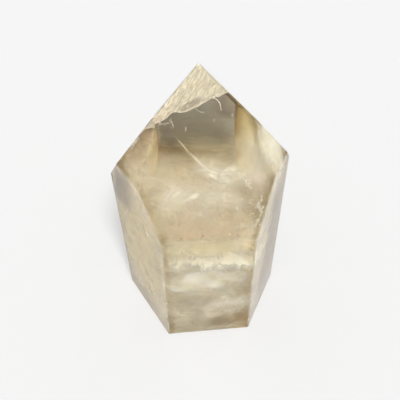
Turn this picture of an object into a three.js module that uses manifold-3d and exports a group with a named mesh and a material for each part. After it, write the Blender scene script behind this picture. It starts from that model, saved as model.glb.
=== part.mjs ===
// A cut and polished citrine point: one quartz crystal, ground to six prism faces and six tip faces and
// standing on a flat, polished base. Millimetres, +Z up. The widest tip face looks to the front, which is -Y.
// The origin is on the base, in the middle of the crystal's width and depth.

import * as THREE from "three";
import { ConvexGeometry } from "three/addons/geometries/ConvexGeometry.js";
import { mergeVertices } from "three/addons/utils/BufferGeometryUtils.js";
import Module from "manifold-3d";

// Driving dimensions, in millimetres and degrees. An azimuth is counted from the front towards +X.

// A prism face stands at its reach from the foot of the growth axis, and leans back by its lean.
const PRISM_FACES = {
  front: { azimuth: 0, lean: -0.5, reach: 23.5 },
  right: { azimuth: 60.1, lean: 0.6, reach: 24.8 },
  backRight: { azimuth: 118.9, lean: 0.5, reach: 22.8 },
  back: { azimuth: 176.1, lean: 0.1, reach: 23.9 },
  backLeft: { azimuth: 239.1, lean: -0.3, reach: 22.9 },
  left: { azimuth: 299, lean: 1, reach: 22.9 },
};

// A tip face tilts from the horizontal by its slope, and would cross the growth axis at its crest height.
const TIP_FACES = {
  frontTip: { azimuth: 1.2, slope: 52.6, crest: 83.9 },
  rightTip: { azimuth: 60.2, slope: 54.5, crest: 99.5 },
  backRightTip: { azimuth: 117.7, slope: 55.2, crest: 94.6 },
  backTip: { azimuth: 178, slope: 52, crest: 99.6 },
  backLeftTip: { azimuth: 237.9, slope: 57.5, crest: 92.3 },
  leftTip: { azimuth: 298.9, slope: 54.5, crest: 95.3 },
};

const EDGE_RADIUS = 0.6; // polishing leaves every edge and corner this round
const ROUND_STEPS = 3; // flats across a rounded edge
const SAME_PLACE = 1e-6; // two lengths closer than this count as one

// Small nicks struck out of the edge between two tip faces. Each is a shallow scoop: along is its place on
// the edge, from the shoulder at 0 to the upper end at 1, and depth is how far it reaches in.
const NICKED_EDGE = ["leftTip", "backLeftTip"];
const NICK_RADIUS = 1.9;
const NICK_DETAIL = 2; // how finely a scoop is divided
const NICKS = [
  { along: 0.34, depth: 0.34 },
  { along: 0.43, depth: 0.22 },
  { along: 0.52, depth: 0.4 },
  { along: 0.63, depth: 0.25 },
  { along: 0.77, depth: 0.3 },
];

const COLOUR = 0xd8c793;
const ROUGHNESS = 0.05;

const wasm = await Module();
wasm.setup();

// The unit vector that points to an azimuth, tilted up from the horizontal by its elevation.
function pointing(azimuth, elevation) {
  const a = THREE.MathUtils.degToRad(azimuth);
  const e = THREE.MathUtils.degToRad(elevation);
  return new THREE.Vector3(Math.sin(a) * Math.cos(e), -Math.cos(a) * Math.cos(e), Math.sin(e));
}

// The crystal's flat faces by name, as planes whose normals point out of the stone.
function facePlanes() {
  const planes = { base: new THREE.Plane(new THREE.Vector3(0, 0, -1), 0) };
  for (const [name, { azimuth, lean, reach }] of Object.entries(PRISM_FACES)) {
    planes[name] = new THREE.Plane(pointing(azimuth, lean), -reach);
  }
  for (const [name, { azimuth, slope, crest }] of Object.entries(TIP_FACES)) {
    const normal = pointing(azimuth, 90 - slope);
    planes[name] = new THREE.Plane(normal, -crest * normal.z);
  }
  return planes;
}

// The point that lies at one depth under each of three planes, or null where two of them are parallel.
function meeting(planes, depth) {
  const [a, b, c] = planes.map((plane) => plane.normal);
  const [pa, pb, pc] = planes.map((plane) => -plane.constant - depth);
  const bc = new THREE.Vector3().crossVectors(b, c);
  const ca = new THREE.Vector3().crossVectors(c, a);
  const ab = new THREE.Vector3().crossVectors(a, b);
  const volume = a.dot(bc);
  if (Math.abs(volume) < SAME_PLACE) return null;
  return bc.multiplyScalar(pa).addScaledVector(ca, pb).addScaledVector(ab, pc).divideScalar(volume);
}

// Every corner of the stone: three faces that meet at a point which no other face cuts away.
function findCorners(planes) {
  const names = Object.keys(planes);
  const corners = [];
  names.forEach((first, i) => {
    names.slice(i + 1).forEach((second, j) => {
      names.slice(i + j + 2).forEach((third) => {
        const faces = [first, second, third];
        const point = meeting(faces.map((name) => planes[name]), 0);
        const isInside = point && names.every((name) => planes[name].distanceToPoint(point) < SAME_PLACE);
        if (isInside) corners.push({ faces, point });
      });
    });
  });
  return corners;
}

// The points of a small ball that sits in a corner and touches its three faces. Their directions divide the
// triangle between the three normals evenly, so balls that share two faces share the flats along their edge.
function cornerBall(faces, planes) {
  const meetingPlanes = faces.map((name) => planes[name]);
  const centre = meeting(meetingPlanes, EDGE_RADIUS);
  const [a, b, c] = meetingPlanes.map((plane) => plane.normal);
  const points = [];
  for (let i = 0; i <= ROUND_STEPS; i++) {
    for (let j = 0; j <= ROUND_STEPS - i; j++) {
      const direction = new THREE.Vector3().addScaledVector(a, i).addScaledVector(b, j);
      direction.addScaledVector(c, ROUND_STEPS - i - j).normalize();
      points.push(direction.multiplyScalar(EDGE_RADIUS).add(centre));
    }
  }
  return points;
}

// A closed mesh as a solid.
function solidFrom(geometry) {
  const bare = geometry.clone();
  bare.deleteAttribute("normal");
  bare.deleteAttribute("uv");
  const merged = mergeVertices(bare);
  return new wasm.Manifold(
    new wasm.Mesh({
      numProp: 3,
      vertProperties: merged.attributes.position.array,
      triVerts: new Uint32Array(merged.index.array),
    }),
  );
}

// A solid's surface as a mesh.
function geometryFrom(solid) {
  const { vertProperties, triVerts } = solid.getMesh();
  const geometry = new THREE.BufferGeometry();
  geometry.setAttribute("position", new THREE.BufferAttribute(vertProperties, 3));
  geometry.setIndex(new THREE.BufferAttribute(triVerts, 1));
  const faceted = geometry.toNonIndexed();
  faceted.computeVertexNormals();
  return faceted;
}

// The polished stone before its edge was nicked: the hull of the balls in its corners.
function polishedStone(planes, corners) {
  const points = corners.flatMap(({ faces }) => cornerBall(faces, planes));
  return solidFrom(new ConvexGeometry(points));
}

// A scoop for each nick: a ball that stands out of the stone and reaches in by the nick's depth. Each is
// turned further than the one before, so that no two nicks have the same facets.
function nickScoops(planes, corners) {
  const ends = corners.filter(({ faces }) => NICKED_EDGE.every((name) => faces.includes(name)));
  const [lower, upper] = ends.map(({ point }) => point).sort((p, q) => p.z - q.z);
  const outward = new THREE.Vector3();
  NICKED_EDGE.forEach((name) => outward.add(planes[name].normal));
  outward.normalize();
  return NICKS.map(({ along, depth }, turn) => {
    const scoop = new THREE.IcosahedronGeometry(NICK_RADIUS, NICK_DETAIL);
    scoop.rotateX(turn).rotateZ(2 * turn);
    const place = lower.clone().lerp(upper, along).addScaledVector(outward, NICK_RADIUS - depth);
    scoop.translate(place.x, place.y, place.z);
    return solidFrom(scoop);
  });
}

const planes = facePlanes();
const corners = findCorners(planes);
const stone = nickScoops(planes, corners).reduce(
  (solid, scoop) => solid.subtract(scoop),
  polishedStone(planes, corners),
);

const geometry = geometryFrom(stone);
geometry.computeBoundingBox();
const middle = geometry.boundingBox.getCenter(new THREE.Vector3());
geometry.translate(-middle.x, -middle.y, 0);

const crystal = new THREE.Mesh(
  geometry,
  new THREE.MeshStandardMaterial({ color: COLOUR, roughness: ROUGHNESS, metalness: 0 }),
);
crystal.name = "crystal";

const citrinePoint = new THREE.Group();
citrinePoint.add(crystal);

export default citrinePoint;
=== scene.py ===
"""The looks of a polished citrine point: clear, pale smoky yellow quartz with milky clouds, fine veils and
sparkling cracks inside. It stands on a plain pale floor under soft studio light.

Lengths are in millimetres, and MM turns them into metres where a mesh, a texture or the camera takes them.
"""

import math

import bmesh
import bpy
import numpy as np
from mathutils import Matrix


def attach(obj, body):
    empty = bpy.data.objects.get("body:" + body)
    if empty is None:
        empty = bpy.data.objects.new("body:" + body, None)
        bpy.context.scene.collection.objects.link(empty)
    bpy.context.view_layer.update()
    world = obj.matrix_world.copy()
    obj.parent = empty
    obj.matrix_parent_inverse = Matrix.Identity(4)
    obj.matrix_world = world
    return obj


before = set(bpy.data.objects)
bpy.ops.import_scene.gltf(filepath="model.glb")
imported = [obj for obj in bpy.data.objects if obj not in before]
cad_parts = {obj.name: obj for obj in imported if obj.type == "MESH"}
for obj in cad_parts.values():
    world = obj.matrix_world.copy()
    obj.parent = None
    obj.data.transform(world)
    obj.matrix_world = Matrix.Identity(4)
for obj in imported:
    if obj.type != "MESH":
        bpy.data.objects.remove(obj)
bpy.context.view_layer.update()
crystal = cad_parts["crystal"]
MM = 0.001


# Shader sums

NOISE_ROUGHNESS = 0.55


class Socket:
    """One output of a shader tree. Sums on it add Math nodes to its tree."""

    def __init__(self, tree, output):
        self.tree = tree
        self.output = output

    def math(self, operation, *values):
        """A Math node with the values in the order given."""
        settings = {"operation": operation}
        return self.tree.node("ShaderNodeMath", settings, dict(enumerate(values)))

    def __add__(self, other):
        return self.math("ADD", self, other)

    def __radd__(self, other):
        return self.math("ADD", other, self)

    def __sub__(self, other):
        return self.math("SUBTRACT", self, other)

    def __rsub__(self, other):
        return self.math("SUBTRACT", other, self)

    def __mul__(self, other):
        return self.math("MULTIPLY", self, other)

    def __rmul__(self, other):
        return self.math("MULTIPLY", other, self)


class Tree:
    """A shader tree that is cleared and built up node by node."""

    def __init__(self, owner):
        owner.use_nodes = True
        self.owner = owner
        self.nodes = owner.node_tree.nodes
        self.links = owner.node_tree.links
        self.nodes.clear()

    def node(self, kind, settings=None, inputs=None, output=0):
        """Adds a node of a kind, makes its settings, then fills its inputs with values or links."""
        made = self.nodes.new(kind)
        for name, value in (settings or {}).items():
            setattr(made, name, value)
        for name, value in (inputs or {}).items():
            if isinstance(value, Socket):
                self.links.new(value.output, made.inputs[name])
            else:
                made.inputs[name].default_value = value
        return Socket(self, made.outputs[output]) if made.outputs else None

    def place(self, stretch=(1, 1, 1), turn=0.0, along_surface=False):
        """A place in millimetres, in the crystal or on a sheet's own map, along axes turned about Z.

        Along each turned axis it is divided by a stretch, so that a pattern grows longer that way.
        """
        source = self.node("ShaderNodeTexCoord", output="UV" if along_surface else "Object")
        step = 1 if along_surface else MM
        inputs = {
            "Vector": source,
            "Rotation": (0, 0, math.radians(turn)),
            "Scale": tuple(step * s for s in stretch),
        }
        return self.node("ShaderNodeMapping", {"vector_type": "TEXTURE"}, inputs)

    def noise(self, place, size, detail, distortion=0.0):
        """Noise around 0.5, with lumps of a size in millimetres."""
        inputs = {
            "Vector": place,
            "Scale": 1 / size,
            "Detail": detail,
            "Roughness": NOISE_ROUGHNESS,
            "Distortion": distortion,
        }
        return self.node("ShaderNodeTexNoise", {}, inputs)

    def rise(self, value, low, high):
        """A value's smooth rise from 0 at low to 1 at high. It falls where high is below low."""
        flip = high < low
        inputs = {"Value": value, "From Min": min(low, high), "From Max": max(low, high)}
        risen = self.node("ShaderNodeMapRange", {"interpolation_type": "SMOOTHSTEP"}, inputs)
        return 1 - risen if flip else risen

    def lumps(self, place, size, low, high, detail, distortion=0.0):
        """Noise with lumps of a size in millimetres, which rises smoothly from 0 at low to 1 at high."""
        return self.rise(self.noise(place, size, detail, distortion), low, high)

    def blend(self, share, first, second):
        """A colour that goes from the first to the second as share goes from 0 to 1.

        The Mix node's colours are its inputs 6 and 7, and its mixed colour is its output 2.
        """
        inputs = {0: share, 6: first, 7: second}
        return self.node("ShaderNodeMix", {"data_type": "RGBA"}, inputs, output=2)

    def attribute(self, name):
        """A number that the mesh carries at its points."""
        return self.node("ShaderNodeAttribute", {"attribute_name": name}, output="Fac")

    def part(self, vector, axis):
        """One of a vector's three numbers."""
        return self.node("ShaderNodeSeparateXYZ", {}, {"Vector": vector}, output=axis)


def rgb(red, green, blue):
    """A colour as a screen shows it, from 0 to 255, made linear for a colour socket."""
    shown = np.array([red, green, blue]) / 255
    linear = np.where(shown <= 0.04045, shown / 12.92, ((shown + 0.055) / 1.055) ** 2.4)
    return (*linear.tolist(), 1)


# Places in the stone

# Triangles larger than this, in square millimetres, belong to flat faces.
FACET_AREA = 4

# Nothing inside the stone comes closer to a face than this.
SKIN = 0.35

# A face whose unit normal goes down further than this is the base.
DOWNWARDS = -0.5

# Lengths and speeds below these count as nothing where something is divided by them.
TINY = 1e-6
TINIER = 1e-9

# A face's origin is the point of its plane that lies nearest to this point.
FACE_CENTRE = np.array([0, 0, 45])
HEART = np.array([0, 0, 40])


def triangle_values(key, width):
    """A value of every triangle of the crystal, made of a width of numbers."""
    polygons = crystal.data.polygons
    values = np.empty(len(polygons) * width)
    polygons.foreach_get(key, values)
    return values.reshape(-1, width)


def flat_faces():
    """The stone's flat faces: their outward unit normals and their distances from the origin.

    They are the planes of every triangle of the crystal that is wider than its rounded edges.
    """
    wide = triangle_values("area", 1)[:, 0] > FACET_AREA * MM**2
    normals = triangle_values("normal", 3)[wide]
    centres = triangle_values("center", 3)[wide] / MM
    return normals, (normals * centres).sum(1)


FACE_NORMALS, FACE_REACHES = flat_faces()


def unit(vectors):
    """Vectors divided by their own lengths."""
    return vectors / np.linalg.norm(vectors, axis=-1, keepdims=True)


def room(starts, directions):
    """How far each start can go along its direction before it meets a face.

    It is the least, over the faces ahead, of the depth under the face divided by the speed towards it.
    """
    depth = FACE_REACHES - starts @ FACE_NORMALS.T
    speed = directions @ FACE_NORMALS.T
    ahead = np.where(speed > TINY, speed, np.nan)
    return np.nanmin(depth / ahead, axis=-1)


def buried(points):
    """How deep points lie under the nearest face that isn't the base."""
    upright = FACE_NORMALS[:, 2] > DOWNWARDS
    return (FACE_REACHES[upright] - points @ FACE_NORMALS[upright].T).min(-1)


def smooth(share):
    """A smooth rise from 0 to 1 as share goes from 0 to 1."""
    share = np.clip(share, 0, 1)
    return share**2 * (3 - 2 * share)


def tucked(points, heart):
    """Points drawn in towards a heart inside the stone, where they would come within a skin of its faces.

    A point keeps its direction from the heart, and its distance is at most the room that way less a skin.
    """
    away = points - heart
    distance = np.maximum(np.linalg.norm(away, axis=-1), TINY)
    limit = room(heart, away / distance[..., None]) - SKIN
    return heart + away * np.minimum(1, limit / distance)[..., None]


class Face:
    """One flat face of the stone, with directions across it and up it, and its outward normal.

    It looks nearest to an azimuth, counted in degrees from the front to the right, at a slope off level.
    """

    def __init__(self, azimuth, slope):
        turn = math.radians(azimuth)
        tilt = math.radians(slope)
        level = np.array([math.sin(turn), -math.cos(turn), 0]) * math.sin(tilt)
        nearest = (FACE_NORMALS @ (level + (0, 0, math.cos(tilt)))).argmax()
        self.normal = FACE_NORMALS[nearest]
        self.across = unit(np.array([-self.normal[1], self.normal[0], 0]))
        self.up = np.cross(self.normal, self.across)
        self.origin = FACE_CENTRE + self.normal * (FACE_REACHES[nearest] - FACE_CENTRE @ self.normal)

    def under(self, across, up, depth):
        """Points at distances across and up the face from its origin, and at a depth under it."""
        across, up, depth = np.broadcast_arrays(across, up, depth)
        flat = across[..., None] * self.across + up[..., None] * self.up
        return self.origin + flat - depth[..., None] * self.normal


FRONT = Face(0, 90)
RIGHT = Face(60, 90)
LEFT = Face(299, 90)
FRONT_TIP = Face(1, 52.6)
LEFT_TIP = Face(299, 54.5)
RIGHT_TIP = Face(60, 54.5)
BACK_LEFT = Face(239, 90)
BACK = Face(176, 90)
BACK_RIGHT = Face(119, 90)


# Meshes

# Points closer than this, in metres, are one point.
MERGE_DISTANCE = 1e-7

# A wave is (height, size). It is a sum of this many sines, whose lengths differ by up to these factors, and
# the scale keeps the sum about within the height.
WAVE_COUNT = 5
WAVE_STRETCHES = (0.7, 1.6)
WAVE_SCALE = 3
FULL_TURN = 6.28


def grid_faces(rows, columns):
    """The four-sided faces of a grid of points that is numbered row by row."""
    row, column = np.mgrid[: rows - 1, : columns - 1]
    corner = row * columns + column
    return np.stack([corner, corner + 1, corner + columns + 1, corner + columns], -1).reshape(-1, 4)


def add_piece(name, sheets, material):
    """Makes one piece of the object from sheets, each of which is (points, map, attributes).

    The points are a grid. The map holds each point's two distances on the sheet, and the attributes are
    numbers at the points. Rows that meet are merged, and the faces are turned outwards.
    """
    points = []
    maps = []
    faces = []
    carried = {key: [] for key in sheets[0][2]}
    start = 0
    for grid, chart, attributes in sheets:
        rows, columns = grid.shape[:2]
        points.append(grid.reshape(-1, 3))
        maps.append(chart.reshape(-1, 2))
        faces.append(grid_faces(rows, columns) + start)
        for key, values in attributes.items():
            carried[key].append(np.broadcast_to(values, grid.shape[:2]).ravel())
        start += rows * columns
    faces = np.concatenate(faces)
    corner_maps = np.concatenate(maps)[faces.ravel()]
    mesh = bpy.data.meshes.new(name)
    mesh.from_pydata((np.concatenate(points) * MM).tolist(), [], faces.tolist())
    mesh.uv_layers.new(name="map").uv.foreach_set("vector", corner_maps.ravel())
    for key, values in carried.items():
        store = mesh.attributes.new(key, "FLOAT", "POINT")
        store.data.foreach_set("value", np.concatenate(values).astype(np.float32))
    shape = bmesh.new()
    shape.from_mesh(mesh)
    bmesh.ops.remove_doubles(shape, verts=shape.verts, dist=MERGE_DISTANCE)
    bmesh.ops.recalc_face_normals(shape, faces=shape.faces)
    shape.to_mesh(mesh)
    shape.free()
    mesh.shade_smooth()
    mesh.materials.append(material)
    piece = bpy.data.objects.new(name, mesh)
    bpy.context.collection.objects.link(piece)
    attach(piece, "root")


def polar_grid(rings, spokes):
    """Two grids: a share from 0 to 1 that grows by rings, and a whole turn that goes round by spokes."""
    return np.meshgrid(np.linspace(0, 1, rings), np.linspace(0, 2 * np.pi, spokes), indexing="ij")


def sheet_normals(points):
    """The unit normals of a grid of points: the cross product of its slopes along rows and columns."""
    slope_down, slope_along = np.gradient(points, axis=(0, 1))
    normals = np.cross(slope_down, slope_along)
    return normals / np.maximum(np.linalg.norm(normals, axis=-1, keepdims=True), TINIER)


def leaf(points, normals, thickness):
    """A closed leaf on a grid of points: a grid that goes out over one skin and back under the other.

    Each skin stands off the points by half the thickness, which is 0 along the grid's last row and, where
    the thickness says so, along its other sides, so that the two skins meet there.
    """
    lift = normals * thickness[..., None] / 2
    return np.concatenate([points + lift, (points - lift)[::-1]])


def inner_film(points, thickness, heart):
    """A closed leaf on a curved grid of points, kept inside the stone by drawing it in towards a heart."""
    return tucked(leaf(points, sheet_normals(points), thickness), heart)


def there_and_back(values):
    """A grid of values on a leaf's points, repeated for its second skin."""
    return np.concatenate([values, values[::-1]])


def blunt_rim(share):
    """How thick a leaf is at a share of the way from its middle to its rim, of 1 in its middle.

    The thickness squared and the share to the fourth add up to 1, so it falls to 0 late and steeply.
    """
    return np.sqrt(np.clip(1 - share**4, 0, 1))


def edge_profile(share):
    """How thick a leaf is at a share of the way across it: 0 at both sides and 1 halfway."""
    return blunt_rim(2 * share - 1)


def waves(points, wave, seed):
    """Smooth bumps at points, up and down by a wave's height and about as long as its size.

    They are a sum of sines along seeded directions, times the height.
    """
    height, size = wave
    random = np.random.default_rng(seed)
    directions = unit(random.normal(size=(WAVE_COUNT, 3)))
    phases = random.uniform(0, FULL_TURN, WAVE_COUNT)
    stretches = random.uniform(*WAVE_STRETCHES, WAVE_COUNT)
    total = np.zeros(points.shape[:-1])
    for direction, phase, stretch in zip(directions, phases, stretches):
        total = total + np.sin(points @ direction * FULL_TURN / (size * stretch) + phase)
    return height * (total / WAVE_SCALE)


# Materials

QUARTZ_INDEX = 1.548
ABSORBED = (0.70, 0.533, 0.0, 1)
ABSORPTION = 15.0
POLISH_ROUGHNESS = 0.01

# The polish leaves low waves: their size, their height, and how much of it shows
POLISH_WAVE_SIZE = 7.0
POLISH_WAVE = 0.2
POLISH_WAVE_SHARE = 0.05

FINISH_ROUGHNESS = 0.7
CRACK_ROUGHNESS = 0.4
FINISH_SHEEN = 0.2

# Films that lie close under a face are lit more strongly than the milk deep inside the stone, so most of
# their colours are darker than its cream.
CREAM = rgb(254, 252, 242)
PINKISH = rgb(251, 243, 232)
PALE_CREAM = rgb(243, 234, 203)
FILM = rgb(205, 191, 160)
GRAIN = rgb(204, 186, 156)
FIBRE = rgb(247, 241, 221)
FEATHER = rgb(252, 248, 230)
CRACK = rgb(254, 250, 236)
TAN = rgb(209, 188, 150)
PINK_TAN = rgb(210, 185, 153)
# The smoky browns are partly the stone's own smoky zones and partly painted shade, for the shaded
# surroundings that the faces would show.
SMOKE_AND_SHADE = rgb(124, 92, 8)
PALE_SMOKE_AND_SHADE = rgb(158, 126, 40)
STRAW = rgb(246, 228, 164)
PALE_STRAW = rgb(252, 241, 202)
GOLD = rgb(252, 231, 186)
HONEY = rgb(242, 216, 136)


def quartz():
    """Polished quartz: clear and pale yellow in its depth, with a faint waviness left by polishing."""
    tree = Tree(bpy.data.materials.new("polished_quartz"))
    waviness = tree.noise(tree.place(), POLISH_WAVE_SIZE, detail=2.0)
    bump = {"Strength": POLISH_WAVE_SHARE, "Distance": POLISH_WAVE * MM, "Height": waviness}
    glass = {
        "Base Color": (1, 1, 1, 1),
        "Roughness": POLISH_ROUGHNESS,
        "IOR": QUARTZ_INDEX,
        "Transmission Weight": 1.0,
        "Normal": tree.node("ShaderNodeBump", {}, bump),
    }
    surface = tree.node("ShaderNodeBsdfPrincipled", {}, glass)
    inside = tree.node("ShaderNodeVolumeAbsorption", {}, {"Color": ABSORBED, "Density": ABSORPTION})
    tree.node("ShaderNodeOutputMaterial", {}, {"Surface": surface, "Volume": inside})
    return tree.owner


def finish(tree, colour, alpha, roughness=FINISH_ROUGHNESS):
    """Ends a material's tree with a finish of a colour, which is seen through by 1 less its alpha."""
    inputs = {"Base Color": colour, "Roughness": roughness, "Alpha": alpha}
    inputs["Specular IOR Level"] = FINISH_SHEEN
    surface = tree.node("ShaderNodeBsdfPrincipled", {}, inputs)
    tree.node("ShaderNodeOutputMaterial", {}, {"Surface": surface})
    return tree.owner


# In the finishes below, a sum's factors say how much milk each pattern adds. Noise less 0.5 lies around 0,
# so added to the milkiness it makes a film's rim uneven.

def milky_cloud(name, main, tinge):
    """Milk in the stone: soft lumps with finer wisps in them, of a main colour and in places of a tinge."""
    tree = Tree(bpy.data.materials.new(name))
    place = tree.place()
    lumps = tree.lumps(place, 12.0, 0.36, 0.64, detail=1.5, distortion=0.3)
    wisps = tree.lumps(tree.place(stretch=(1.5, 1, 1)), 5.0, 0.36, 0.66, detail=2.0, distortion=0.4)
    body = 0.13 + 0.12 * lumps + 0.25 * wisps + 0.8 * wisps * lumps
    alpha = body * tree.attribute("milkiness")
    tint = tree.lumps(place, 9.0, 0.42, 0.62, detail=1.0)
    return finish(tree, tree.blend(tint, main, tinge), alpha)


def milky_wisps(name, thin, thick):
    """Thin milk drawn out in one direction, on a film whose rim is eaten away unevenly.

    Its colour goes from a thin one to a thick one.
    """
    tree = Tree(bpy.data.materials.new(name))
    place = tree.place(stretch=(2.6, 1, 1), along_surface=True)
    broad = tree.noise(place, 4.6, detail=2.0, distortion=0.3)
    fine = tree.lumps(place, 2.0, 0.32, 0.7, detail=2.0, distortion=0.3)
    milk = tree.attribute("milkiness")
    body = tree.rise(milk + 1.6 * (broad - 0.5), 0.15, 0.95)
    alpha = milk * body * (0.55 + 0.45 * fine)
    return finish(tree, tree.blend(fine, thin, thick), alpha)


def soft_haze(name, thin, thick):
    """An even, soft haze with an uneven rim, whose lumps go from a thin colour to a thick one."""
    tree = Tree(bpy.data.materials.new(name))
    lumps = tree.noise(tree.place(), 5.5, detail=2.0, distortion=0.4)
    milk = tree.attribute("milkiness")
    body = tree.rise(milk + 0.7 * (lumps - 0.5), 0.0, 0.9)
    alpha = milk * body * (0.75 + 0.4 * (lumps - 0.5))
    return finish(tree, tree.blend(tree.rise(lumps, 0.25, 0.75), thin, thick), alpha)


def smoke_and_shade_cloud():
    """A smoky olive brown zone of the stone, with soft lumps. It is partly painted shade: it darkens the
    faces where shaded surroundings would show.
    """
    tree = Tree(bpy.data.materials.new("smoke_and_shade_cloud"))
    lumps = tree.lumps(tree.place(), 6.0, 0.3, 0.7, detail=4.0, distortion=0.8)
    alpha = (0.5 + 0.5 * lumps) * tree.attribute("milkiness")
    return finish(tree, tree.blend(lumps, PALE_SMOKE_AND_SHADE, SMOKE_AND_SHADE), alpha)


def healed_veil():
    """A healed crack near the tip: a tan film with fine cream fibres that run two ways.

    To the left of a place across the face, the film turns pinkish.
    """
    tree = Tree(bpy.data.materials.new("healed_veil"))
    steep = tree.place(stretch=(9, 1, 1), turn=54, along_surface=True)
    flat = tree.place(stretch=(6, 1, 1), turn=22, along_surface=True)
    fibres = tree.lumps(steep, 0.24, 0.42, 0.62, detail=4.0, distortion=0.1)
    crossing = tree.lumps(flat, 0.2, 0.45, 0.62, detail=3.0, distortion=0.1)
    bright = 0.65 * fibres + 0.35 * crossing
    surface = tree.place(along_surface=True)
    patches = tree.lumps(surface, 2.2, 0.34, 0.62, detail=3.0, distortion=1.0)
    alpha = (0.66 + 0.1 * patches + 0.24 * bright) * tree.attribute("milkiness")
    pink = tree.rise(tree.part(surface, "X"), -5.5, -8.5)
    return finish(tree, tree.blend(bright, tree.blend(pink, FILM, GRAIN), FIBRE), alpha)


def white_thread():
    """A white thread of healed crack."""
    tree = Tree(bpy.data.materials.new("white_thread"))
    grain = tree.lumps(tree.place(), 0.5, 0.35, 0.65, detail=2.0)
    alpha = (0.6 + 0.4 * grain) * tree.attribute("milkiness")
    return finish(tree, tree.blend(grain, FIBRE, FEATHER), alpha, CRACK_ROUGHNESS)


def bright_crack():
    """A tiny crack full of air, which throws light back strongly."""
    tree = Tree(bpy.data.materials.new("bright_crack"))
    grain = tree.lumps(tree.place(), 0.3, 0.35, 0.65, detail=2.0)
    return finish(tree, tree.blend(grain, CRACK, FEATHER), 0.75 + 0.25 * grain, CRACK_ROUGHNESS)


def bruise_and_highlight_line():
    """A line of fine bruises under an edge, which comes and goes. Its pale colour also paints the highlight
    that light gives on the rounded edge.
    """
    tree = Tree(bpy.data.materials.new("bruise_and_highlight_line"))
    breaks = tree.lumps(tree.place(), 2.5, 0.36, 0.6, detail=4.0)
    alpha = (0.25 + 0.75 * breaks) * tree.attribute("milkiness")
    return finish(tree, tree.blend(breaks, FILM, FIBRE), alpha)


def feathered_crack():
    """A crack healed into feathers: bright fibres that run inwards from a soft front edge to ragged ends."""
    tree = Tree(bpy.data.materials.new("feathered_crack"))
    drawn_out = tree.place(stretch=(1, 7, 1), along_surface=True)
    fibres = tree.lumps(drawn_out, 0.55, 0.4, 0.64, detail=4.0, distortion=0.3)
    longish = tree.place(stretch=(1, 2, 1), along_surface=True)
    broad = tree.lumps(longish, 2.6, 0.36, 0.64, detail=3.0)
    reach = tree.attribute("reach")
    ragged = reach + 0.45 * (fibres - 0.5) + 0.3 * (broad - 0.5)
    front = tree.rise(reach + 0.2 * (broad - 0.5), 0.0, 0.45)
    body = 0.55 + 0.25 * broad + 0.35 * fibres
    alpha = front * tree.rise(ragged, 0.92, 0.62) * body * tree.attribute("milkiness")
    return finish(tree, tree.blend(fibres, FEATHER, CREAM), alpha)


# Milky clouds

CLOUD_DEPTHS = (5.5, 9, 13, 17, 22, 29, 38, 48, 57)
CLOUD_SEED = 3
CLOUD_GRID = (22, 73)
CLOUD_WAVE = (1.6, 15)

# The spread of a cloud's lean, and the depth from which it leans by all of it
CLOUD_LEAN = 0.1
FULL_LEAN_DEPTH = 10

# A cloud gets thicker with its depth, up to a limit, and milkier.
CLOUD_THICKENING = 0.3
CLOUD_THICKEST = 2.5
CLOUD_MILK = 0.25
CLOUD_MILK_GAIN = 0.004

# Upright clouds: how far to the right they stand, and how many degrees they are turned, then the place
# behind the middle and above the floor that all of them pass through
SIDE_CLOUDS = [(-15, 8), (-6, -12), (5, 6), (14, -9)]
SIDE_CLOUD_MIDDLE = (2, 30)
SIDE_CLOUD_LEAN = 0.15
SIDE_CLOUD_THICKNESS = 2.0
SIDE_CLOUD_MILK = 0.22
SIDE_CLOUD_SEED = 20

# The stone is clear above one height up the front tip face and fully milky below another.
CLEAR_ABOVE = 19.0
MILKY_BELOW = 3.0
LEVEL_WAVE = (1.8, 12)

# Beside the clear part's middle, further out than its half, the milk rises this much per millimetre.
CLEAR_MIDDLE = -1.4
CLEAR_HALF = 11.0
BESIDE_RISE = 2.2

# To the left of the streak the clear part dips lower.
CLEAR_DIP = 1.3
DIP_MIDDLE = -6.8
DIP_HALF = 4.2

# The stone is clear down to a depth under every face, and the milk sets in over the next few millimetres.
CLEAR_SKIN = 1.0
CLEAR_FADE = 7.0

# Denser spots of the clouds: how far across and up the front tip face, how wide, how high, and how dense
MILKY_SPOTS = [
    (7, 8.7, 3.4, 1.5, 1.6),
    (2, 9.8, 3, 0.9, 0.6),
    (-7.4, 4.2, 3.5, 1.2, 0.9),
    (-1.3, 6.4, 4, 0.9, 0.6),
    (-9.9, 0.6, 2.5, 2.5, 0.9),
    (5.4, 1.4, 3.5, 1.3, 0.8),
    (-3.6, -2.3, 3.5, 2, 0.7),
]
SPOT_DEPTH = 9


def milkiness(points, seed):
    """How milky the stone is at points.

    It rises smoothly from 0 in the clear part behind the tip to 1 below it, by a level. That is the height
    up the front tip face, shifted by low waves, lowered beside the clear part's middle, and raised by a
    bell curve where the clear part dips. The milk falls to 0 again close under the faces. Each dense spot
    adds a bell curve that fades with the depth under the face.
    """
    offset = points - FRONT_TIP.origin
    across = offset @ FRONT_TIP.across
    up = offset @ FRONT_TIP.up
    depth = -offset @ FRONT_TIP.normal
    beside = np.maximum(np.abs(across - CLEAR_MIDDLE) - CLEAR_HALF, 0)
    dip = CLEAR_DIP * np.exp(-(((across - DIP_MIDDLE) / DIP_HALF) ** 2))
    level = up - waves(points, LEVEL_WAVE, seed) - BESIDE_RISE * beside + dip
    share = (CLEAR_ABOVE - level) / (CLEAR_ABOVE - MILKY_BELOW)
    amount = smooth(share) * smooth((buried(points) - CLEAR_SKIN) / CLEAR_FADE)
    for spot_across, spot_up, width, height, extra in MILKY_SPOTS:
        bell = ((across - spot_across) / width) ** 2 + ((up - spot_up) / height) ** 2
        amount = amount + extra * np.exp(-bell - (depth / SPOT_DEPTH) ** 2)
    return amount


def section_middle(start, across, up):
    """The middle of the stone's section through a start: moved halfway to where there is more room."""
    for direction in (up, across, up, across):
        start = start + direction * (room(start, direction) - room(start, -direction)) / 2
    return start


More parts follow.
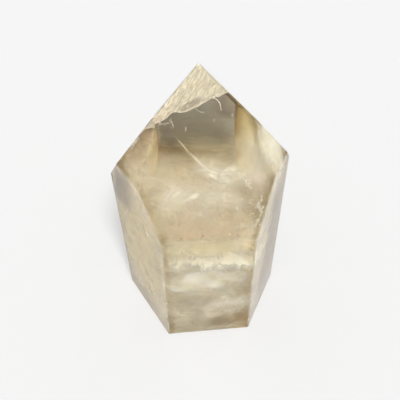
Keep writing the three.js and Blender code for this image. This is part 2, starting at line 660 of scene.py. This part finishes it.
def cloud(start, facing, seed, thickness, strength):
    """One cloud: a leaf that fills the stone's whole section through a start, and looks to a direction.

    Its points go out from the section's middle to the room there is each way, in even shares, and stand off
    the section's plane by low waves. Its milk fades towards the rim by 1 less the share to the eighth.
    """
    share, turn = polar_grid(*CLOUD_GRID)
    across = unit(np.cross((0, 0, 1), facing))
    up = np.cross(facing, across)
    heart = section_middle(start, across, up)
    directions = np.cos(turn)[..., None] * across + np.sin(turn)[..., None] * up
    radius = share * (room(heart, directions) - SKIN)
    flat = heart + radius[..., None] * directions
    bumps = waves(flat, CLOUD_WAVE, seed) * (1 - share**4)
    points = flat + bumps[..., None] * facing
    skins = tucked(leaf(points, np.broadcast_to(facing, points.shape), thickness * blunt_rim(share)), heart)
    chart = there_and_back(np.stack([radius * np.cos(turn), radius * np.sin(turn)], -1))
    amount = strength * (1 - there_and_back(share) ** 8) * milkiness(skins, seed)
    return skins, chart, {"milkiness": amount}


def clouds():
    """Clouds one behind the other, that lean a little off the slope of the front tip face."""
    random = np.random.default_rng(CLOUD_SEED)
    face_height = FRONT_TIP.normal @ (FRONT_TIP.origin - HEART)
    sheets = []
    for seed, depth in enumerate(CLOUD_DEPTHS):
        facing = unit(FRONT_TIP.normal + random.normal(0, CLOUD_LEAN, 3) * min(1, depth / FULL_LEAN_DEPTH))
        start = HEART + FRONT_TIP.normal * (face_height - depth)
        thickness = min(CLOUD_THICKEST, CLOUD_THICKENING * depth)
        sheets.append(cloud(start, facing, seed, thickness, CLOUD_MILK + CLOUD_MILK_GAIN * depth))
    add_piece("milky_clouds", sheets, milky_cloud("milky_cloud", CREAM, PINKISH))


def side_clouds():
    """Thinner clouds that stand upright from front to back, which show from the sides."""
    sheets = []
    for number, (place, turn) in enumerate(SIDE_CLOUDS):
        turn = math.radians(turn)
        facing = unit(np.array([math.cos(turn), math.sin(turn), SIDE_CLOUD_LEAN]))
        start = np.array([place, *SIDE_CLOUD_MIDDLE])
        seed = SIDE_CLOUD_SEED + number
        sheets.append(cloud(start, facing, seed, SIDE_CLOUD_THICKNESS, SIDE_CLOUD_MILK))
    add_piece("side_clouds", sheets, milky_cloud("straw_cloud", PALE_STRAW, STRAW))


# Films under the faces

OVAL_GRID = (16, 49)
OVAL_THICKNESS = 0.5
OVAL_WAVE = (0.8, 9)
OVAL_WAVE_PER_DEPTH = 0.25

# The oval films of each piece: the face they lie under, the middle across and up it, the half length and
# half width, the slant of the long axis, the depth, the seed of the waves, and how milky the middle is
FILMS = {
    "milky_patches": [
        (FRONT_TIP, (8, 9.2), (9, 4), 6, 6, 31, 0.8),
        (FRONT_TIP, (3.5, 9), (8, 2.8), -24, 5, 32, 0.6),
        (FRONT_TIP, (-4, 4), (10, 3.4), 26, 5.5, 33, 0.6),
        (FRONT_TIP, (-3, -1), (12, 6), 10, 7.5, 34, 0.45),
        (FRONT, (-6, -14), (12, 5.5), 14, 4, 36, 0.3),
        (FRONT, (4, -9.5), (12, 4), 10, 5, 37, 0.45),
    ],
    "side_patches": [
        (RIGHT, (-1, 1.5), (13, 3), 65, 1.2, 38, 0.7),
        (RIGHT, (-4.5, -13), (9, 2.6), 60, 1.2, 39, 0.6),
        (LEFT, (3.5, -8), (18, 7), 60, 2, 40, 0.2),
        (LEFT, (-4, -12), (20, 6), 84, 2.5, 41, 0.2),
    ],
    "cream_hazes": [
        (FRONT_TIP, (7.4, 8.2), (8, 3.6), 14, 4, 44, 0.62),
        (FRONT_TIP, (6.8, 9.2), (5, 2), 20, 5, 59, 0.8),
        (FRONT_TIP, (-7.5, 2.5), (7.5, 5), 30, 4, 46, 0.4),
        (FRONT_TIP, (3, 2.5), (9, 4.5), -10, 4.5, 47, 0.4),
        (RIGHT_TIP, (4.5, 8), (13, 7.5), 68, 2, 35, 0.9),
        (FRONT, (-1, -13), (20, 10), 8, 2.5, 45, 0.88),
        (FRONT, (7, -29.5), (17, 7), 26, 2.5, 61, 0.5),
    ],
    "straw_hazes": [
        (FRONT, (0, 4), (19, 6), 0, 1.2, 57, 0.55),
        (FRONT_TIP, (12.6, 20), (9, 3), 100, 2.2, 63, 0.5),
        (FRONT_TIP, (-12.8, 16.5), (6, 2.2), 82, 1.6, 64, 0.4),
        (FRONT_TIP, (11, 11.5), (8, 4), 80, 3, 66, 0.4),
    ],
    "side_hazes": [
        (LEFT, (0, -14), (44, 24), 84, 1.4, 58, 0.75),
        (RIGHT, (-4, -12), (34, 16), 84, 1.4, 60, 0.5),
    ],
    "golden_hazes": [
        (BACK_LEFT, (-8.6, 3), (18, 6.5), 90, 1, 48, 1.5),
        (BACK_RIGHT, (8, 7), (20, 6.4), 90, 1, 49, 1.9),
    ],
    "tan_hazes": [
        (LEFT_TIP, (-3, 12.5), (12, 7.5), 70, 1.6, 43, 0.6),
    ],
    # Smoky zones, which are also painted shade on the side faces, the lower right and the back, where shaded
    # surroundings would show.
    "smoke_and_shade_patches": [
        (FRONT, (9, -39), (15, 5.5), 22, 3.5, 51, 0.5),
        (FRONT, (-5, -27), (12, 5), 10, 4, 62, 0.25),
        (FRONT_TIP, (11, -1), (10, 5), 75, 7, 54, 0.2),
        (RIGHT, (3, -22), (24, 11), 82, 0.8, 52, 1.5),
        (RIGHT, (3, 2), (16, 8), 82, 0.8, 55, 0.8),
        (LEFT, (-7.5, 11), (14, 9), 60, 0.8, 53, 0.75),
        (LEFT, (11, -4), (16, 3.5), 88, 2.5, 56, 0.3),
        (BACK, (-9, 19.5), (10, 7.5), 90, 0.8, 65, 0.4),
    ],
}


def oval(face, middle, size, slant, depth, seed, strength):
    """A thin oval film under a face, with low waves, that fades towards its rim.

    Its points go out from the middle by even shares of an ellipse of a size, turned on the face. Its map
    holds distances along and across the ellipse's long axis.
    """
    share, turn = polar_grid(*OVAL_GRID)
    long = share * size[0] * np.cos(turn)
    wide = share * size[1] * np.sin(turn)
    slant = math.radians(slant)
    across = middle[0] + long * math.cos(slant) - wide * math.sin(slant)
    up = middle[1] + long * math.sin(slant) + wide * math.cos(slant)
    points = face.under(across, up, 0.0)
    wave = (min(OVAL_WAVE[0], OVAL_WAVE_PER_DEPTH * depth), OVAL_WAVE[1])
    sunk = depth + waves(points, wave, seed)
    points = points - sunk[..., None] * face.normal
    heart = face.under(middle[0], middle[1], depth + 1.0)
    normals = np.broadcast_to(face.normal, points.shape)
    skins = tucked(leaf(points, normals, OVAL_THICKNESS * blunt_rim(share)), heart)
    chart = there_and_back(np.stack([long, wide], -1))
    return skins, chart, {"milkiness": strength * smooth(1 - there_and_back(share) ** 1.5)}


def films(name, material, others=()):
    """One piece of oval films, with any other sheets that belong to it."""
    add_piece(name, [*others, *(oval(*film) for film in FILMS[name])], material)


FILM_THICKNESS = 0.1

# The tan film at the foot of the front tip face: where its lower edge lies and how it slopes, its two ends,
# how far it reaches up the face, its depth at the edge and how much deeper it ends, its waves, and how
# milky it is
FOOT_UP = -8.1
FOOT_SLOPE = 0.034
FOOT_ENDS = (-12.8, 13.6)
FOOT_REACH = 14.0
FOOT_DEPTH = 0.55
FOOT_SINK = 2.5
FOOT_WAVE = (0.1, 8)
FOOT_SEED = 81
FOOT_MILK = 0.66
FOOT_HEART = FRONT_TIP.under(0.0, -2.0, 8.0)


def tan_foot():
    """A tan film under the foot of the front tip face, which fades upwards and ends at the edge below.

    A point goes from the face's lower edge up the face by its share of the reach, at a depth that grows.
    The milk comes in over the first fiftieth of the reach, and fades smoothly to the end.
    """
    rows, columns = 24, 50
    share = np.linspace(0, 1, rows)[:, None]
    across = np.linspace(*FOOT_ENDS, columns)[None, :]
    across, up = np.broadcast_arrays(across, FOOT_UP - FOOT_SLOPE * across + FOOT_REACH * share)
    surface = FRONT_TIP.under(across, up, 0.0)
    sunk = FOOT_DEPTH + waves(surface, FOOT_WAVE, FOOT_SEED) + FOOT_SINK * share
    points = surface - sunk[..., None] * FRONT_TIP.normal
    sides = edge_profile(np.linspace(0, 1, columns))[None, :]
    thickness = FILM_THICKNESS * edge_profile(share) * sides
    skins = inner_film(points, thickness, FOOT_HEART)
    chart = there_and_back(np.stack([across, up], -1))
    fade = there_and_back(FOOT_MILK * smooth(50 * share) * (1 - smooth(share)) * sides)
    return skins, chart, {"milkiness": fade}


# Veil under the tip

RIM = np.array([
    (-11.9, 23.6), (-10.2, 24.2), (-8.6, 24.9), (-6.9, 26.2), (-5.5, 26.4), (-3.6, 26.4),
    (-1, 27.2), (1.7, 28.4), (3.5, 29.3), (5.3, 29.6), (8.1, 30.5),
])
CREST = np.array([(-11.8, 24.6), (-10.8, 26.5), (-5.0, 32.4), (0.8, 38.1), (4.5, 34.2), (8.1, 30.8)])
LEFT_RIM = np.array([(-4.2, 16.6), (-3.4, 17.4), (-2.4, 18.2), (-1.5, 18.8), (-0.9, 19.0)])
LEFT_CREST = np.array([(-4.1, 17.0), (-3.3, 19.8), (-2.5, 22.4), (-1.9, 21.0), (-1.2, 19.4)])
TIP = np.array([0.8, 37.6])
TIP_HEART = FRONT_TIP.under(0.0, 26.0, 6.0)
VEIL_WAVE = (0.3, 5)

# The thin part of the veil above its rim: its middle, its half length and half width, its slant, and how
# much of the veil it takes away
THIN_SPOT = {"middle": (-1.9, 28.1), "half": (3.4, 0.85), "slant": 24, "loss": 0.8}


def along(points, count):
    """Points evenly spread in share along a chain of points, with its corners rounded by a cubic curve."""
    share = np.linspace(0, len(points) - 1, count)
    padded = np.vstack([2 * points[0] - points[1], points, 2 * points[-1] - points[-2]])
    start = np.minimum(share.astype(int), len(points) - 2)
    t = (share - start)[:, None]
    a, b, c, d = (padded[start + k] for k in range(4))
    return 0.5 * (2 * b + (c - a) * t + (2 * a - 5 * b + 4 * c - d) * t**2 + (3 * b - a - 3 * c + d) * t**3)


def straight(points, count):
    """Points evenly spread along a chain of points, straight from each to the next."""
    share = np.linspace(0, len(points) - 1, count)
    known = np.arange(len(points))
    return np.stack([np.interp(share, known, points[:, axis]) for axis in range(2)], -1)


def thinned(flat):
    """How much of the veil there is at places on the face: less by a bell curve over its thin part."""
    slant = math.radians(THIN_SPOT["slant"])
    offset = flat - THIN_SPOT["middle"]
    long = offset @ (math.cos(slant), math.sin(slant)) / THIN_SPOT["half"][0]
    wide = offset @ (-math.sin(slant), math.cos(slant)) / THIN_SPOT["half"][1]
    return 1 - THIN_SPOT["loss"] * np.exp(-(long**4) - wide**4)


def veil_film(face, rim, crest, depth, seed):
    """A film under a face, from an uneven rim up to a crest line along the face's edges.

    A point goes from the rim straight towards the crest by its share, and its depth changes in low waves.
    """
    rows, columns = 50, 121
    rise = np.linspace(0, 1, rows)[:, None, None]
    flat = along(rim, columns) * (1 - rise) + straight(crest, columns) * rise
    surface = face.under(flat[..., 0], flat[..., 1], 0.0)
    sunk = depth + waves(surface, VEIL_WAVE, seed)
    points = surface - sunk[..., None] * face.normal
    sides = edge_profile(np.linspace(0, 1, columns))[None, :]
    thickness = FILM_THICKNESS * edge_profile(rise[..., 0]) * sides
    skins = inner_film(points, thickness, TIP_HEART)
    return skins, there_and_back(flat), {"milkiness": there_and_back(thinned(flat))}


def tip_veil():
    """Films of the veil: two under the front tip face, and one that goes on under the left tip face."""
    sheets = [
        veil_film(FRONT_TIP, RIM, CREST, 0.7, 5),
        veil_film(FRONT_TIP, RIM + (0.2, 0.5), CREST, 1.8, 6),
        veil_film(LEFT_TIP, LEFT_RIM, LEFT_CREST, 0.6, 7),
    ]
    add_piece("tip_veil", sheets, healed_veil())


# Threads

TUBE_SIDES = 6

# Threads under the front tip face: their course, their depth and their radius
THREADS = [
    ([(-6.4, 26.6), (-5.5, 26.4), (-3.6, 26.4), (-1, 27.2), (1.7, 28.4), (3.5, 29.3), (5.3, 29.6),
      (7.9, 30.5)], 0.7, 0.15),
    ([(-5.8, 26.7), (-4.2, 28.1), (-2.2, 29.3), (-1.2, 30), (0.1, 29.6), (1.9, 29.6),
      (3.5, 29.3)], 0.8, 0.1),
    ([(3.3, 29.4), (4.6, 29.8), (6.2, 30.4), (7.9, 31.2)], 0.7, 0.09),
    ([(3.7, 29.2), (4.6, 29), (5.6, 27.8), (5.9, 25.8)], 1.2, 0.12),
    ([(-1.1, 27), (0.3, 26.1), (1.4, 25.8)], 1.3, 0.07),
    ([(-3.6, 22.6), (-3.7, 21.3)], 1, 0.11),
    ([(-7.5, 24.8), (-7, 23.6), (-6.8, 22.6)], 1, 0.08),
    ([(8.6, 25), (8.9, 24.2)], 1.4, 0.06),
    ([(4, 24), (3.8, 23.3)], 1.4, 0.05),
]
THREAD_STEPS = 20
THREAD_WAVE = (0.1, 1.2)
THREAD_SEED = 3

# Short fibres in the veil: how many there are, which of the rim's places they start above, how far up from
# there to the tip, their slant, length, bend, depth and radius
FIBRE_COUNT = 130
FIBRE_SEED = 17
RIM_PLACES = 200
FIBRE_PLACES = (15, 185)
FIBRE_RISE = 0.8
FIBRE_SLANT = 52
FIBRE_SLANT_SPREAD = 10
FIBRE_LENGTHS = (0.8, 3.2)
FIBRE_BEND = 0.12
FIBRE_DEPTHS = (0.5, 1.4)
FIBRE_RADII = (0.025, 0.055)
FIBRE_STEPS = 9


def tube(path, radius):
    """A thin closed tube: a ring of sides at each point of a path, whose radius falls to 0 at both ends."""
    turn = np.linspace(0, 2 * np.pi, TUBE_SIDES + 1)
    ahead = unit(np.gradient(path, axis=0))
    side = unit(np.cross(ahead, FRONT_TIP.normal + 0.01))
    over = np.cross(side, ahead)
    share = np.linspace(0, 1, len(path))
    width = radius * edge_profile(share)
    ring = np.cos(turn)[None, :, None] * side[:, None] + np.sin(turn)[None, :, None] * over[:, None]
    return path[:, None] + ring * width[:, None, None]


def plain_sheet(grid, milk):
    """A sheet with an empty map, that is evenly milky."""
    return grid, np.zeros((*grid.shape[:2], 2)), {"milkiness": np.full(grid.shape[:2], milk)}


def thread(line, depth, radius, count):
    """A thread under the front tip face, a little uneven along its course."""
    course = along(np.array(line, float), count)
    start = FRONT_TIP.under(course[:, 0], course[:, 1], depth)
    start = start + waves(start, THREAD_WAVE, THREAD_SEED)[:, None] * FRONT_TIP.up
    return plain_sheet(tube(tucked(start, TIP_HEART), radius), 1.0)


def threads():
    """The bright threads along the veil's rim, the hairs that hang below it, and the fibres in it."""
    sheets = [thread(line, depth, radius, THREAD_STEPS * len(line)) for line, depth, radius in THREADS]
    random = np.random.default_rng(FIBRE_SEED)
    rim = along(RIM, RIM_PLACES)
    to_tip = TIP - rim[RIM_PLACES // 2]
    for _ in range(FIBRE_COUNT):
        low = rim[random.integers(*FIBRE_PLACES)] + random.uniform(0, FIBRE_RISE) * to_tip
        slant = math.radians(random.normal(FIBRE_SLANT, FIBRE_SLANT_SPREAD))
        length = random.uniform(*FIBRE_LENGTHS)
        high = low + length * np.array([math.cos(slant), math.sin(slant)])
        bend = (low + high) / 2 + random.normal(0, FIBRE_BEND, 2)
        depth = random.uniform(*FIBRE_DEPTHS)
        radius = random.uniform(*FIBRE_RADII)
        sheets.append(thread([low, bend, high], depth, radius, FIBRE_STEPS))
    add_piece("white_threads", sheets, white_thread())


# White streak

STREAK = np.array([
    (-6.6, 20.3), (-5.4, 18.6), (-4.2, 16.9), (-2.9, 15.2), (-1.6, 13.8), (-0.3, 12.3), (1.4, 10.6),
    (3.4, 9.2), (5.6, 8.2), (8.2, 7.6),
])

# The half width of the white streak where it starts, how much it gains, and how late it flares
STREAK_START = 0.3
STREAK_GAIN = 2.6
STREAK_FLARE = 1.7

# The depth of the streak where it starts, how much deeper it ends, and how much deeper its sides lie
STREAK_DEPTH = 2.5
STREAK_SINK = 3.5
STREAK_BOW = 0.8
STREAK_MAP_LENGTH = 12

# Its milk: a part that comes in over a twelfth of the length, a part that comes in over half of it, and
# the share of both that is lost by the end
STREAK_QUICK_MILK = 0.5
STREAK_QUICK = 12
STREAK_SLOW_MILK = 0.24
STREAK_SLOW = 2
STREAK_LOSS = 0.25


def light_streak():
    """A narrow film that widens as it runs down from the clear part into the clouds.

    A point goes from the course to the side by its offset times the half width. Across the film, the milk
    and the thickness follow a cosine.
    """
    rows, columns = 60, 13
    course = along(STREAK, rows)
    ahead = unit(np.gradient(course, axis=0))
    side = np.stack([-ahead[:, 1], ahead[:, 0]], -1)
    share = np.linspace(0, 1, rows)[:, None]
    width = STREAK_START + STREAK_GAIN * share**STREAK_FLARE
    offset = np.linspace(-1, 1, columns)[None, :]
    flat = course[:, None] + side[:, None] * (offset * width)[..., None]
    surface = FRONT_TIP.under(flat[..., 0], flat[..., 1], 0.0)
    sunk = STREAK_DEPTH + STREAK_SINK * share + STREAK_BOW * np.abs(offset)
    points = surface - sunk[..., None] * FRONT_TIP.normal
    middle = np.cos(offset * np.pi / 2)
    skins = leaf(points, sheet_normals(points), FILM_THICKNESS * edge_profile(share) * middle)
    milk = STREAK_QUICK_MILK * smooth(STREAK_QUICK * share) + STREAK_SLOW_MILK * smooth(STREAK_SLOW * share)
    fade = middle * milk * (1 - STREAK_LOSS * share)
    chart = np.stack(np.broadcast_arrays(STREAK_MAP_LENGTH * share, offset * width), -1)
    sheets = [(skins, there_and_back(chart), {"milkiness": there_and_back(fade)})]
    add_piece("light_streak", sheets, soft_haze("white_haze", CREAM, CREAM))


# Bright flakes

# Chains of tiny cracks: the face they lie under, their course, how many there are, and how large
FLAKE_CHAINS = [
    (FRONT_TIP, [(11.2, 6.8), (11.6, 6.2), (11.4, 5.9)], 14, 0.22),
    (FRONT_TIP, [(11.6, 5.8), (12.1, 5.3), (12.6, 4.4)], 12, 0.15),
    (FRONT_TIP, [(11.8, 2.4), (12, 1.4), (12.3, 0.6)], 12, 0.17),
    (FRONT_TIP, [(15.2, 2), (14, 0), (14.8, -1.6), (13.8, -4.1), (12.6, -5.7),
                 (10.4, -7.3)], 150, 0.16),
    (FRONT_TIP, [(14.6, -0.4), (14.9, -2.4)], 14, 0.26),
    (FRONT_TIP, [(7.6, -5.6), (8.8, -5.2), (10.2, -4.9), (12, -4.6)], 60, 0.16),
    (FRONT_TIP, [(6, -7.2), (6.1, -7.4)], 2, 0.3),
    (FRONT_TIP, [(9.6, 3.6), (11, -1), (13.2, -3)], 26, 0.12),
    (FRONT_TIP, [(8.3, 0.4), (8, -0.6)], 5, 0.16),
    (FRONT_TIP, [(-10.6, 24), (-8.6, 23.9), (-7.2, 24.4)], 26, 0.14),
    (FRONT_TIP, [(-7.4, 23.2), (-7, 22.6)], 4, 0.12),
    (FRONT, [(11.5, 1.5), (12, 0.5)], 5, 0.12),
    (FRONT, [(5.1, -22.3), (5.3, -23)], 5, 0.2),
    (LEFT, [(6.8, 3.2), (7, 2.8)], 3, 0.28),
    (LEFT_TIP, [(-5.8, 10.2), (-5.2, 12.2), (-4.7, 14)], 45, 0.2),
]
FLAKE_SEED = 11
FLAKE_GRID = (3, 9)
FLAKE_PLACES = 200
FLAKE_SCATTER = 0.3
FLAKE_TILT = 0.3
FLAKE_DEPTHS = (0.45, 0.85)
FLAKE_SIZES = (0.3, 1.0)
FLAKE_STRETCHES = (0.9, 2.2)
FLAKE_THICKNESS = 0.06
FLAKE_HEART_DEPTH = 2


def flakes():
    """Tiny bright cracks strung along chains, each a tilted little leaf.

    Each is an ellipse on two directions square to its normal, which strays from the face's.
    """
    random = np.random.default_rng(FLAKE_SEED)
    share, turn = polar_grid(*FLAKE_GRID)
    sheets = []
    for face, chain, count, size in FLAKE_CHAINS:
        course = along(np.array(chain, float), FLAKE_PLACES)
        for spot in course[random.integers(0, FLAKE_PLACES, count)]:
            across, up = spot + random.normal(0, FLAKE_SCATTER, 2)
            middle = face.under(across, up, random.uniform(*FLAKE_DEPTHS))
            normal = unit(face.normal + random.normal(0, FLAKE_TILT, 3))
            first = unit(np.cross(normal, random.normal(size=3)))
            second = np.cross(normal, first)
            radius = size * random.uniform(*FLAKE_SIZES)
            long = radius * random.uniform(*FLAKE_STRETCHES)
            flat = (long * np.cos(turn))[..., None] * first + (radius * np.sin(turn))[..., None] * second
            points = middle + flat * share[..., None]
            skins = leaf(points, np.broadcast_to(normal, points.shape), FLAKE_THICKNESS * (1 - share))
            sheets.append(plain_sheet(tucked(skins, middle - FLAKE_HEART_DEPTH * face.normal), 1.0))
    add_piece("bright_flakes", sheets, bright_crack())


# Worn edges, with painted edge highlights

# The pale line under each edge is partly bruising and partly a painted highlight of the rounded edge.
EDGE_LINE_RADIUS = 0.09
EDGE_LINE_DEPTH = 0.45
EDGE_LINE_WAVE = (0.06, 2)
EDGE_LINE_SEED = 71
EDGE_LINE_MILK = 0.3
EDGE_LINE_STEPS_PER_MM = 2
EDGE_LINE_SPAN = (0.02, 0.98)

# Two faces meet in an edge if the sine of the angle between them is more than this, and it counts if it is
# longer than this.
LEAST_SINE = 0.05
SHORTEST_EDGE = 3


def stone_edges():
    """The two ends and the inward direction of every edge of the stone longer than a few millimetres.

    Two faces meet along a line: its direction is the cross product of their normals, and a point on it
    solves both planes. The line is cut where it would leave the stone through any other face.
    """
    first, second = np.triu_indices(len(FACE_REACHES), 1)
    direction = np.cross(FACE_NORMALS[first], FACE_NORMALS[second])
    crossing = np.linalg.norm(direction, axis=1) > LEAST_SINE
    first = first[crossing]
    second = second[crossing]
    direction = unit(direction[crossing])
    planes = np.stack([FACE_NORMALS[first], FACE_NORMALS[second], direction], 1)
    reaches = np.stack([FACE_REACHES[first], FACE_REACHES[second], direction @ HEART], 1)
    start = np.linalg.solve(planes, reaches[..., None])[..., 0]
    depth = FACE_REACHES - start @ FACE_NORMALS.T
    speed = direction @ FACE_NORMALS.T
    own = np.arange(len(first))
    speed[own, first] = speed[own, second] = 0
    depth[own, first] = depth[own, second] = 1
    with np.errstate(divide="ignore", invalid="ignore"):
        reach = depth / speed
    far = np.where(speed > TINIER, reach, np.inf).min(1)
    near = np.where(speed < -TINIER, reach, -np.inf).max(1)
    kept = far - near > SHORTEST_EDGE
    inward = -unit(FACE_NORMALS[first] + FACE_NORMALS[second])
    return (start + near[:, None] * direction)[kept], (start + far[:, None] * direction)[kept], inward[kept]


def worn_and_highlit_edges():
    """A fine line of bruises under each polished edge: a thin tube a little inside it, which also paints the
    edge's highlight.
    """
    sheets = []
    for start, end, inward in zip(*stone_edges()):
        count = int(np.linalg.norm(end - start) * EDGE_LINE_STEPS_PER_MM)
        share = np.linspace(*EDGE_LINE_SPAN, count)[:, None]
        path = start + share * (end - start) + EDGE_LINE_DEPTH * inward
        path = path + waves(path, EDGE_LINE_WAVE, EDGE_LINE_SEED)[:, None] * inward
        sheets.append(plain_sheet(tube(path, EDGE_LINE_RADIUS), EDGE_LINE_MILK))
    add_piece("worn_and_highlit_edges", sheets, bruise_and_highlight_line())


# Feathered layer across the prism

LAYER = np.array([
    (-21, -6, 36.9), (-15, -18.5, 38.4), (-11.5, -22.4, 38.6), (0, -23, 38.3),
    (12, -22.7, 37.6), (16, -18.5, 35.5), (22, -8.5, 33.9),
])
LAYER_REACH = 9.0
LAYER_RISE = 0.5
LAYER_WAVE = (0.45, 7)
LAYER_THICKNESS = 0.12

# The crack is fainter on its left: by how much, and from where it grows over how many millimetres
LAYER_LEFT = 0.3
LAYER_GROWS_FROM = -12
LAYER_GROWS_OVER = 20


def feathered_film(drop, tilt, strength, seed):
    """A film whose front edge follows the faces, and which reaches in towards the stone's middle.

    A point goes inwards from the edge by its share of the reach, and rises at a slope less the tilt, with
    low waves.
    """
    rows, columns = 40, 160
    edge = along(LAYER, columns) - (0, 0, drop)
    inward = unit((HEART - edge) * (1, 1, 0))
    share = np.linspace(0, 1, rows)[:, None]
    depth = LAYER_REACH * share
    rise = (LAYER_RISE - tilt) * depth + waves(edge, LAYER_WAVE, seed)[None, :] * share
    points = edge[None] + inward[None] * depth[..., None] + rise[..., None] * np.array([0, 0, 1])
    lengths = np.concatenate([[0], np.cumsum(np.linalg.norm(np.diff(edge, axis=0), axis=1))])
    sides = edge_profile(np.linspace(0, 1, columns))
    thickness = LAYER_THICKNESS * edge_profile(share) * sides[None, :]
    skins = inner_film(points, thickness, HEART)
    chart = np.stack(np.broadcast_arrays(lengths[None, :], depth), -1)
    rightward = LAYER_LEFT + (1 - LAYER_LEFT) * smooth((edge[:, 0] - LAYER_GROWS_FROM) / LAYER_GROWS_OVER)
    amount = np.broadcast_to(strength * rightward * sides, (rows, columns))
    reach = np.broadcast_to(share, (rows, columns))
    attributes = {"milkiness": there_and_back(amount), "reach": there_and_back(reach)}
    return skins, there_and_back(chart), attributes


def feathered_layer():
    """The feathered crack: a strong film and two fainter ones under it, each tilted a little more."""
    sheets = [
        feathered_film(0.0, 0.02, 2.2, 61),
        feathered_film(0.8, 0.08, 1.6, 62),
        feathered_film(1.8, 0.15, 1.0, 63),
    ]
    add_piece("feathered_layer", sheets, feathered_crack())


crystal.data.materials.clear()
crystal.data.materials.append(quartz())
clouds()
side_clouds()
films("milky_patches", milky_wisps("milky_wisps", FIBRE, CREAM))
films("side_patches", milky_wisps("straw_wisps", STRAW, PALE_STRAW))
films("cream_hazes", soft_haze("cream_haze", PALE_CREAM, CREAM))
films("straw_hazes", soft_haze("straw_haze", STRAW, PALE_STRAW))
films("side_hazes", soft_haze("honey_haze", HONEY, STRAW))
films("golden_hazes", soft_haze("golden_haze", GOLD, STRAW))
films("tan_hazes", soft_haze("tan_haze", PINK_TAN, TAN), [tan_foot()])
films("smoke_and_shade_patches", smoke_and_shade_cloud())
tip_veil()
threads()
light_streak()
flakes()
feathered_layer()
worn_and_highlit_edges()


# Floor, light and camera

FLOOR_HALF = 4000
FLOOR_GREY = 0.4
AIR_GAP = 0.15
DOME_STRENGTH = 0.6

# The lamp's strength, and in degrees how wide it looks from the crystal, how high it stands above the
# floor, and how far it is turned from the front to the right
KEY = {"energy": 6.45, "angle": 22, "elevation": 56, "azimuth": 8}

# How often light may be thrown about in the stone, and pass on through its films
BOUNCES = 32
DIFFUSE_BOUNCES = 4
FILM_PASSES = 256


def floor():
    """A plain pale floor, a hair's breadth under the crystal's base."""
    square = ((-1, -1), (1, -1), (1, 1), (-1, 1))
    corners = [(x * FLOOR_HALF * MM, y * FLOOR_HALF * MM, -AIR_GAP * MM) for x, y in square]
    mesh = bpy.data.meshes.new("floor")
    mesh.from_pydata(corners, [], [(0, 1, 2, 3)])
    piece = bpy.data.objects.new("floor", mesh)
    bpy.context.collection.objects.link(piece)
    material = bpy.data.materials.new("pale_floor")
    tree = Tree(material)
    matt = tree.node("ShaderNodeBsdfDiffuse", {}, {"Color": (FLOOR_GREY, FLOOR_GREY, FLOOR_GREY, 1)})
    tree.node("ShaderNodeOutputMaterial", {}, {"Surface": matt})
    mesh.materials.append(material)


def studio():
    """A soft dome of light, and one broad lamp high in front, a little to the right."""
    world = bpy.data.worlds.new("studio")
    bpy.context.scene.world = world
    tree = Tree(world)
    dome = tree.node("ShaderNodeBackground", {}, {"Color": (1, 1, 1, 1), "Strength": DOME_STRENGTH})
    tree.node("ShaderNodeOutputWorld", {}, {"Surface": dome})
    lamp = bpy.data.lights.new("soft_key", "SUN")
    lamp.energy = KEY["energy"]
    lamp.angle = math.radians(KEY["angle"])
    key = bpy.data.objects.new("soft_key", lamp)
    key.rotation_euler = (math.radians(90 - KEY["elevation"]), 0, math.radians(KEY["azimuth"]))
    bpy.context.collection.objects.link(key)


# The camera looks at a point inside the crystal. Azimuth 0 looks along +Y.
CAMERA = {
    "aim": (0.1, -0.4, 43.4),
    "distance": 149.4,
    "azimuth": -4.1,
    "elevation": 47.8,
    "roll": -1.15,
    "lens": 42.1,
    "sensor": 36,
}


def camera():
    """A camera that looks at its aim from a distance, turned about its own axis by its roll."""
    turn, rise, roll = (math.radians(CAMERA[k]) for k in ("azimuth", "elevation", "roll"))
    ahead = np.array([-math.sin(turn) * math.cos(rise), math.cos(turn) * math.cos(rise), -math.sin(rise)])
    side = np.array([math.cos(turn), math.sin(turn), 0])
    over = np.cross(side, ahead)
    right = math.cos(roll) * side + math.sin(roll) * over
    up = math.cos(roll) * over - math.sin(roll) * side
    data = bpy.data.cameras.new("camera")
    data.lens = CAMERA["lens"]
    data.sensor_width = CAMERA["sensor"]
    view = bpy.data.objects.new("camera", data)
    bpy.context.collection.objects.link(view)
    matrix = np.eye(4)
    matrix[:3, :3] = np.column_stack([right, up, -ahead])
    matrix[:3, 3] = (np.array(CAMERA["aim"]) - ahead * CAMERA["distance"]) * MM
    view.matrix_world = Matrix(matrix.tolist())
    bpy.context.scene.camera = view


def render_settings():
    """Enough bounces for light that is thrown about inside the stone, and plain, unstyled colours."""
    scene = bpy.context.scene
    scene.cycles.max_bounces = BOUNCES
    scene.cycles.transmission_bounces = BOUNCES
    scene.cycles.glossy_bounces = BOUNCES
    scene.cycles.diffuse_bounces = DIFFUSE_BOUNCES
    scene.cycles.transparent_max_bounces = FILM_PASSES
    scene.cycles.use_denoising = True
    scene.view_settings.view_transform = "Standard"


floor()
studio()
camera()
render_settings()
